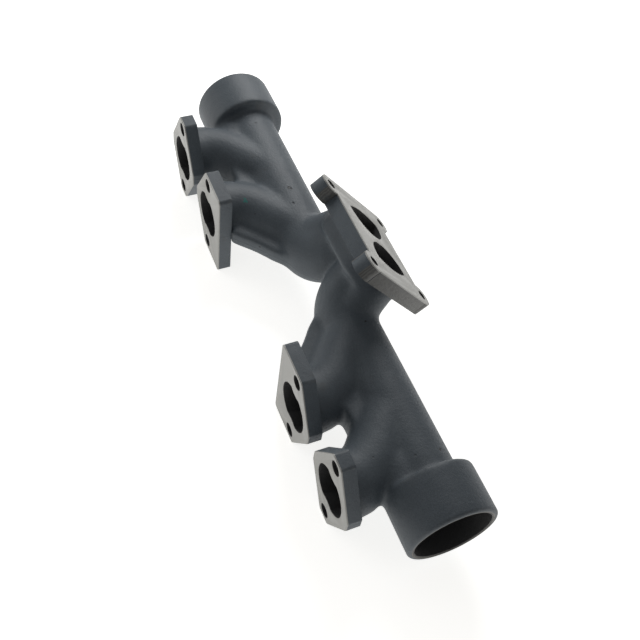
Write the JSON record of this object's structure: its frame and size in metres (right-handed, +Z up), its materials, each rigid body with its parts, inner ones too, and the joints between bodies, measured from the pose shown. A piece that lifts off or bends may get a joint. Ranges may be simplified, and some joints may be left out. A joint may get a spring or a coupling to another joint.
{
  "type": "exhaust manifold",
  "caption": "Log-style cast exhaust manifold section with curved runners, port flanges, a slip-joint socket at each end and a tilted divided turbocharger flange.",
  "frame": {"origin": "middle of the manifold along the engine, on the plane of the port faces, at the height of the port centres", "axes": "+X along the engine towards the front socket, +Y away from the cylinder head, +Z up"},
  "size_m": [0.445, 0.1364, 0.1163],
  "materials": {
    "cast_iron_skin": "sand cast, matte, blue-grey",
    "machined_face": "milled, satin, light grey"
  },
  "bodies": {
    "root": {"port_flange_1": "cast_iron_skin", "port_flange_2": "cast_iron_skin", "port_flange_3": "cast_iron_skin", "port_flange_4": "cast_iron_skin", "runner_1": "cast_iron_skin", "runner_2": "cast_iron_skin", "runner_3": "cast_iron_skin", "runner_4": "cast_iron_skin", "log_pipe_rear": "cast_iron_skin", "log_pipe_front": "cast_iron_skin", "slip_socket_rear": "cast_iron_skin", "slip_socket_front": "cast_iron_skin", "scroll_rear": "cast_iron_skin", "scroll_front": "cast_iron_skin", "divider_wall": "cast_iron_skin", "turbo_flange": "cast_iron_skin", "gusset_2": "cast_iron_skin", "gusset_3": "cast_iron_skin", "web_12": "cast_iron_skin", "web_34": "cast_iron_skin"}
  },
  "joints": []
}
